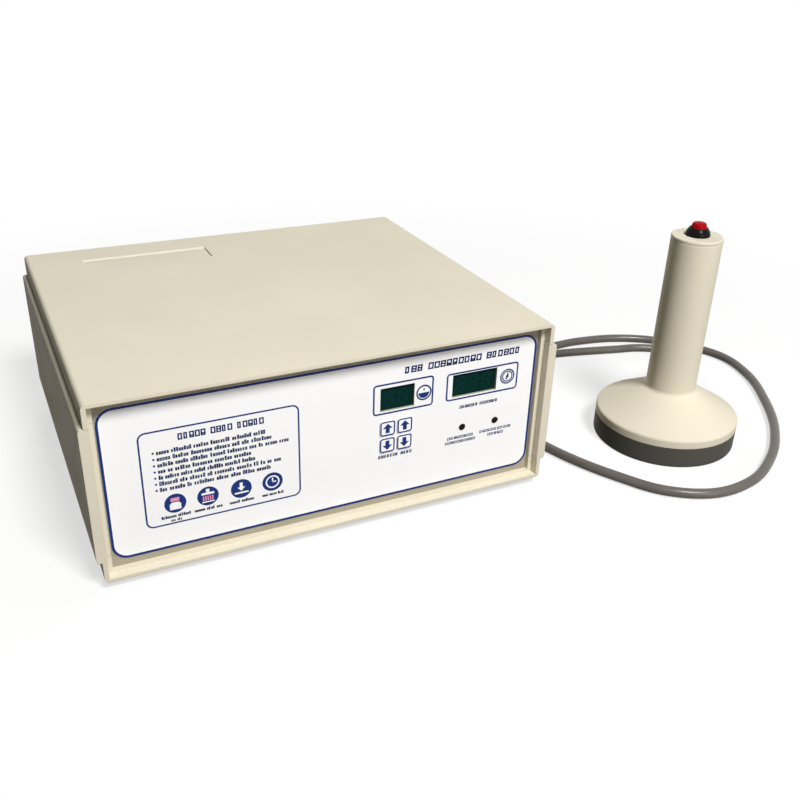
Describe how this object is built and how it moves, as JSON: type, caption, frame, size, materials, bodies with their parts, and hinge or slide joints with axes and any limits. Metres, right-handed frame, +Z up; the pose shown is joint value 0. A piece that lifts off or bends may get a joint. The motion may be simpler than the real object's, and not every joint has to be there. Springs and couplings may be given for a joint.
{
  "type": "handheld induction cap sealer",
  "caption": "Handheld induction cap sealer: a beige bench power unit with a recessed control panel, and a round sealing head with an upright handle and a trigger button on a cable.",
  "frame": {"origin": "middle of the footprint of the case and the sealing head, on the surface that they stand on", "axes": "+X to the right seen from the front, +Y to the rear, +Z up"},
  "size_m": [0.6212, 0.4187, 0.1824],
  "materials": {
    "case_plastic": "moulded beige plastic with a fine texture",
    "panel_plastic": "moulded darker beige plastic",
    "overlay_film": "printed film, satin",
    "key_film": "printed film keys, satin",
    "tinted_window": "dark green tinted acrylic",
    "black_plastic": "black moulded plastic",
    "rubber": "black rubber",
    "steel": "plated steel",
    "circuit_board": "green solder mask",
    "aluminium": "extruded",
    "copper": "enamelled copper wire",
    "ferrite": "sintered ferrite",
    "capacitor_sleeve": "shrink sleeve",
    "capacitor_film": "potted film capacitor",
    "terminal_plastic": "green terminal block",
    "former_plastic": "white heat resistant plastic",
    "grey_plastic": "dark grey moulded plastic",
    "cable_jacket": "grey flexible jacket",
    "red_plastic": "red moulded button"
  },
  "bodies": {
    "root": {"top_cover": "case_plastic", "bottom_cover": "case_plastic", "left_side_panel": "case_plastic", "right_side_panel": "case_plastic", "rubber_feet": "rubber", "case_screws": "steel", "front_panel": "panel_plastic", "front_overlay": "overlay_film", "time_window": "tinted_window", "voltage_window": "tinted_window", "time_display": "black_plastic", "voltage_display": "black_plastic", "alarm_lamps": "black_plastic", "control_board": "circuit_board", "key_switches": "black_plastic", "buzzer": "black_plastic", "control_board_screws": "steel", "rear_panel": "panel_plastic", "fan_frame": "black_plastic", "fan_guard": "steel", "fan_screws": "steel", "inlet_body": "black_plastic", "inlet_pins": "steel", "rocker_frame": "black_plastic", "cable_gland": "grey_plastic", "gland_nut": "grey_plastic", "power_board": "circuit_board", "power_board_screws": "steel", "heatsink": "aluminium", "power_transistors": "black_plastic", "bridge_rectifier": "black_plastic", "filter_capacitors": "capacitor_sleeve", "resonant_capacitors": "capacitor_film", "output_core": "ferrite", "output_winding": "copper", "choke": "copper", "output_terminal": "terminal_plastic", "handle_shell": "case_plastic", "base_cup": "grey_plastic", "handle_cap": "case_plastic", "button_bezel": "black_plastic", "button_spring": "steel", "switch_block": "black_plastic", "button_nut": "steel", "coil_former": "former_plastic", "work_coil": "copper", "ferrite_bars": "ferrite", "cable_boot": "cable_jacket", "hand_cable": "cable_jacket"},
    "trigger_button": {"trigger_button": "red_plastic"},
    "tens_up_key": {"tens_up_key": "key_film"},
    "ones_up_key": {"ones_up_key": "key_film"},
    "tens_down_key": {"tens_down_key": "key_film"},
    "ones_down_key": {"ones_down_key": "key_film"},
    "power_rocker": {"power_rocker": "black_plastic"},
    "fan_rotor": {"fan_rotor": "black_plastic"},
    "fuse_drawer": {"fuse_drawer": "black_plastic", "fuse": "steel"}
  },
  "joints": [
    {"name": "trigger_press", "type": "slide", "parent": "root", "child": "trigger_button", "axis": [0, 0, -1], "range_m": [0, 0.003], "stiffness_N_per_m": 800, "springref_m": -0.002, "deforming": ["button_spring"]},
    {"name": "tens_up_key_press", "type": "slide", "parent": "root", "child": "tens_up_key", "axis": [0, 1, 0], "range_m": [0, 0.0005], "stiffness_N_per_m": 1500, "springref_m": -0.0004},
    {"name": "ones_up_key_press", "type": "slide", "parent": "root", "child": "ones_up_key", "axis": [0, 1, 0], "range_m": [0, 0.0005], "stiffness_N_per_m": 1500, "springref_m": -0.0004},
    {"name": "tens_down_key_press", "type": "slide", "parent": "root", "child": "tens_down_key", "axis": [0, 1, 0], "range_m": [0, 0.0005], "stiffness_N_per_m": 1500, "springref_m": -0.0004},
    {"name": "ones_down_key_press", "type": "slide", "parent": "root", "child": "ones_down_key", "axis": [0, 1, 0], "range_m": [0, 0.0005], "stiffness_N_per_m": 1500, "springref_m": -0.0004},
    {"name": "power_rocker_tip", "type": "hinge", "parent": "root", "child": "power_rocker", "pos_m": [-0.20235, 0.1419, 0.092], "axis": [1, 0, 0], "range_deg": [0, 20]},
    {"name": "fan_turn", "type": "hinge", "parent": "root", "child": "fan_rotor", "pos_m": [-0.10735, 0.1263, 0.0685], "axis": [0, 1, 0], "continuous": true},
    {"name": "fuse_drawer_pull", "type": "slide", "parent": "root", "child": "fuse_drawer", "axis": [0, 1, 0], "range_m": [0, 0.018]}
  ]
}
